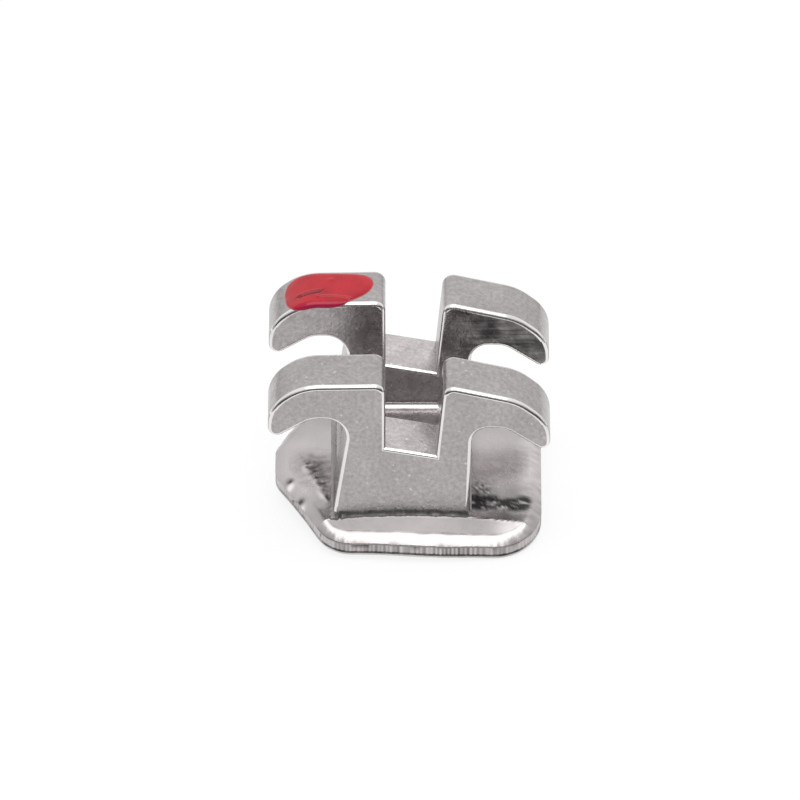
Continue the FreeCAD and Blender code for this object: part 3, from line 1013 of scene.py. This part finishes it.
def product(tree, first, *others):
    for other in others:
        first = calculated(tree, "MULTIPLY", first, other)
    return first


def axes(tree, vector):
    split = add(tree, "ShaderNodeSeparateXYZ", Vector=vector)
    return [split.outputs[axis] for axis in "XYZ"]


def region(tree, places, limits):
    """A mask, 1 where each of the places lies between its limits and 0 outside."""
    shares = []
    for place, (rise, fall) in zip(places, limits):
        if rise:
            shares.append(remap(tree, place, *rise, 0.0, 1.0))
        if fall:
            shares.append(remap(tree, place, *fall, 1.0, 0.0))
    return product(tree, *shares)


def scuff_tone(tree, vector):
    """A dark scuff on the far twin's side of the gap, with scratches along it."""
    x, y, z = axes(tree, vector)
    wander = remap(tree, noise_at(tree, vector, 3.0, 3.0), 0.3, 0.7, -0.12, 0.12)
    mask = region(tree, (calculated(tree, "ADD", x, wander), y, z), SCUFF)
    stretched = millimetres(tree, (2.4, 1, 34))
    scratches = remap(tree, noise_at(tree, stretched, 1.0, 3.0, 0.6), 0.35, 0.65, 0.20, 0.50)
    blotches = remap(tree, noise_at(tree, vector, 3.6), 0.38, 0.62, 0.55, 1.7)
    return mask, product(tree, scratches, blotches)


def gap_corner_painted_shade(tree, vector):
    """Painted shade that dims the highlight in the gap's far lower corner, with a mottled skin."""
    mask = region(tree, axes(tree, vector), GAP_CORNER)
    return mask, remap(tree, noise_at(tree, vector, 7.0, 3.0), 0.35, 0.65, 0.42, 0.70)


def slot_floor_painted_light(tree, vector):
    """Painted light on the slot's floor, mottled."""
    x, y, z = axes(tree, vector)
    mask = region(tree, (x, calculated(tree, "ABSOLUTE", y), z), SLOT_FLOOR)
    return mask, remap(tree, noise_at(tree, vector, 4.0), 0.35, 0.65, 1.25, 1.50)


def blended(tree, mask, value):
    """1 outside the mask and the value inside it."""
    node = add(tree, "ShaderNodeMix", Factor=mask, A=1.0, B=value)
    return node.outputs["Result"]


def painted_glints(tree, vector):
    """Painted glints: sparse bright dots in the colour, in patches."""
    cells = add(tree, "ShaderNodeTexVoronoi", Vector=vector, Scale=9.0)
    dot = remap(tree, cells.outputs["Distance"], 0.08, 0.18, 1.0, 0.0)
    patch = remap(tree, noise_at(tree, vector, 1.7), 0.44, 0.58, 0.0, 1.0)
    return remap(tree, product(tree, dot, patch), 0.0, 1.0, 1.0, 1.50)


def steel(name, colour, roughness, wave=0.0020, grain=0.0006, pits=0.0, speckle=0.0,
          toned=False, scuffs_and_painted_light=False, bent=False):
    """Polished steel. Wave, grain and pits are depths in millimetres, speckle a share of the lightness.

    Toned and bent steel takes its lightness and its bend from the mesh's points. The body's steel also gets
    scuffs, painted shade in the gap's far corner, painted light on the slot's floor and painted glints.
    """
    made, tree, shader = material(name)
    vector = millimetres(tree)
    shader.inputs["Metallic"].default_value = 1.0
    tone = remap(tree, noise_at(tree, vector, 2.3, 3.0), 0.3, 0.7, 0.93, 1.05)
    if speckle:
        dots = remap(tree, noise_at(tree, vector, 21.0, 2.0, 0.6), 0.3, 0.7, 1 - speckle, 1 + speckle)
        tone = product(tree, tone, dots)
    if toned:
        tone = product(tree, tone, attribute(tree, "tone"))
    if scuffs_and_painted_light:
        # Scuffs, painted shade in the gap's far corner and painted light on the slot's floor
        for marks in (scuff_tone, gap_corner_painted_shade, slot_floor_painted_light):
            tone = product(tree, tone, blended(tree, *marks(tree, vector)))
        tone = product(tree, tone, painted_glints(tree, vector))
    base = tree.nodes.new("ShaderNodeMix")
    base.data_type = "RGBA"
    base.blend_type = "MULTIPLY"
    base.inputs["Factor"].default_value = 1.0
    base.inputs["A"].default_value = (*colour, 1)
    tree.links.new(tone, base.inputs["B"])
    tree.links.new(base.outputs["Result"], shader.inputs["Base Color"])
    spread = remap(tree, noise_at(tree, vector, 9.0, 3.0), 0.3, 0.7, roughness * 0.85, roughness * 1.15)
    tree.links.new(spread, shader.inputs["Roughness"])
    normal = bumped(tree, noise_at(tree, vector, 3.0, 1.0), wave * MM)
    normal = bumped(tree, noise_at(tree, vector, 26.0, 3.0, 0.6), grain * MM * 4, normal)
    if bent:
        normal = bumped(tree, attribute(tree, "bend"), MM, normal)
    if pits:
        cells = add(tree, "ShaderNodeTexVoronoi", Vector=vector, Scale=13.0)
        hole = remap(tree, cells.outputs["Distance"], 0.0, 0.20, 0.0, 1.0)
        normal = bumped(tree, hole, pits * MM, normal)
    tree.links.new(normal, shader.inputs["Normal"])
    return made


def level_ramp(tree, value, levels):
    """A grey level by the value, which runs from -1 to 1."""
    ramp = tree.nodes.new("ShaderNodeValToRGB")
    tree.links.new(remap(tree, value, -1.0, 1.0, 0.0, 1.0), ramp.inputs["Fac"])
    elements = ramp.color_ramp.elements
    while len(elements) < len(levels):
        elements.new(0.5)
    for element, (at, level) in zip(elements, levels):
        element.position = (at + 1) / 2
        element.color = (level, level, level, 1)
    return ramp.outputs["Color"]


def mixed(tree, factor, first, second):
    mix = tree.nodes.new("ShaderNodeMix")
    mix.data_type = "RGBA"
    for name, value in (("Factor", factor), ("A", first), ("B", second)):
        plug(tree, mix.inputs[name], value)
    return mix.outputs["Result"]


def red_lacquer():
    """Gloss lacquer, paler and more metallic where its film is thin."""
    made, tree, shader = material("red_lacquer")
    vector = millimetres(tree)
    film = attribute(tree, "film")
    cloud = remap(tree, noise_at(tree, vector, 4.0, 3.0), 0.3, 0.7, 0.0, 1.0)
    red = mixed(tree, cloud, DARK_RED, LIGHT_RED)
    red = mixed(tree, attribute(tree, "rim"), red, RIM_RED)
    # Painted shade in the scratch's groove
    red = mixed(tree, attribute(tree, "groove"), red, GROOVE_SHADE_RED)
    colour = mixed(tree, film, THIN_FILM, red)
    tree.links.new(colour, shader.inputs["Base Color"])
    shader.inputs["Specular IOR Level"].default_value = 0.28
    tree.links.new(remap(tree, film, 0.2, 1.0, 0.6, 0.0), shader.inputs["Metallic"])
    shader.inputs["Roughness"].default_value = 0.16
    normal = bumped(tree, noise_at(tree, vector, 7.0), 0.004 * MM)
    tree.links.new(normal, shader.inputs["Normal"])
    return made


def set_world():
    """A pale studio, darker low down on the camera's side, so that rounded edges get their dark line."""
    world = bpy.data.worlds.new("studio")
    bpy.context.scene.world = world
    world.use_nodes = True
    tree = world.node_tree
    tree.nodes.clear()
    output = tree.nodes.new("ShaderNodeOutputWorld")
    background = tree.nodes.new("ShaderNodeBackground")
    coordinates = tree.nodes.new("ShaderNodeTexCoord")
    _, y, z = axes(tree, coordinates.outputs["Generated"])
    behind = level_ramp(tree, z, LEVELS_BEHIND)
    in_front = level_ramp(tree, z, LEVELS_IN_FRONT)
    side = remap(tree, y, 0.05, -0.45, 0.0, 1.0)
    room = mixed(tree, side, behind, in_front)
    path = tree.nodes.new("ShaderNodeLightPath")
    seen = mixed(tree, path.outputs["Is Camera Ray"], room, (1, 1, 1, 1))
    tree.links.new(seen, background.inputs["Color"])
    background.inputs["Strength"].default_value = 1.0
    tree.links.new(background.outputs["Background"], output.inputs["Surface"])


def set_lamp():
    data = bpy.data.lights.new("softbox", "AREA")
    data.shape = "RECTANGLE"
    data.size, data.size_y = SOFTBOX_SIZE
    data.energy = SOFTBOX_RADIANCE * math.pi * data.size * data.size_y
    lamp = bpy.data.objects.new("softbox", data)
    bpy.context.scene.collection.objects.link(lamp)
    lamp.location = SOFTBOX_PLACE
    lamp.visible_camera = False


def make_floor():
    signs = ((-1, -1), (1, -1), (1, 1), (-1, 1))
    corners = [(FLOOR_REACH * across, FLOOR_REACH * along, -CROWN) for across, along in signs]
    floor = to_metres(new_object("floor", corners, [(0, 1, 2, 3)]))
    made, tree, shader = material("pale_floor")
    shader.inputs["Base Color"].default_value = (FLOOR_GREY, FLOOR_GREY, FLOOR_GREY, 1)
    shader.inputs["Roughness"].default_value = 0.9
    shader.inputs["Specular IOR Level"].default_value = 0.0
    output = next(node for node in tree.nodes if node.type == "OUTPUT_MATERIAL")
    glow = add(tree, "ShaderNodeEmission", Strength=1.0)
    path = tree.nodes.new("ShaderNodeLightPath")
    seen = calculated(tree, "MAXIMUM", path.outputs["Is Camera Ray"], path.outputs["Is Glossy Ray"])
    seen = calculated(tree, "MAXIMUM", seen, path.outputs["Is Transmission Ray"])
    mix = tree.nodes.new("ShaderNodeMixShader")
    tree.links.new(product(tree, seen, FLOOR_GLOW), mix.inputs[0])
    tree.links.new(shader.outputs["BSDF"], mix.inputs[1])
    tree.links.new(glow.outputs["Emission"], mix.inputs[2])
    tree.links.new(mix.outputs["Shader"], output.inputs["Surface"])
    floor.data.materials.append(made)


def dress(obj, made, slot, *replaced):
    indices = [polygon.material_index for polygon in obj.data.polygons]
    obj.data.materials.clear()
    obj.data.materials.append(made)
    obj.data.polygons.foreach_set("material_index", indices)
    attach(obj, "root")
    if replaced:
        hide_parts(*replaced)


bpy.context.scene.view_settings.view_transform = "Standard"
set_camera()
set_world()
set_lamp()
make_floor()

body_steel = steel("moulded_steel", STEEL, 0.27, pits=0.0012, speckle=0.16, scuffs_and_painted_light=True)
edge_highlight_steel = steel("painted_edge_highlights", EDGE_HIGHLIGHT_STEEL, 0.12, grain=0.0002)
foil_steel = steel("foil_steel", STEEL, 0.26, wave=0.0015, grain=0.0002, toned=True, bent=True)
gauze_steel = steel("gauze_steel", STEEL, 0.30, wave=0.0, grain=0.0004, toned=True)
wire_steel = steel("wire_steel", STEEL, 0.24, wave=0.0, grain=0.0004)
braze_metal = steel("braze", STEEL, 0.30, wave=0.0010, grain=0.0003, toned=True)

tie_wings = make_body()
dress(tie_wings, body_steel, "moulded_steel", "tie_wing_body")
tie_wings.data.materials.append(edge_highlight_steel)
dress(make_foil(), foil_steel, "foil_steel", "bonding_pad_foil")
dress(make_gauze_rim(), gauze_steel, "gauze_steel", "retention_mesh")
dress(make_weave(), wire_steel, "gauze_steel")
dress(make_braze(), braze_metal, "braze", "braze_fillet")
dress(make_lacquer(), red_lacquer(), "red_lacquer", "colour_dot")
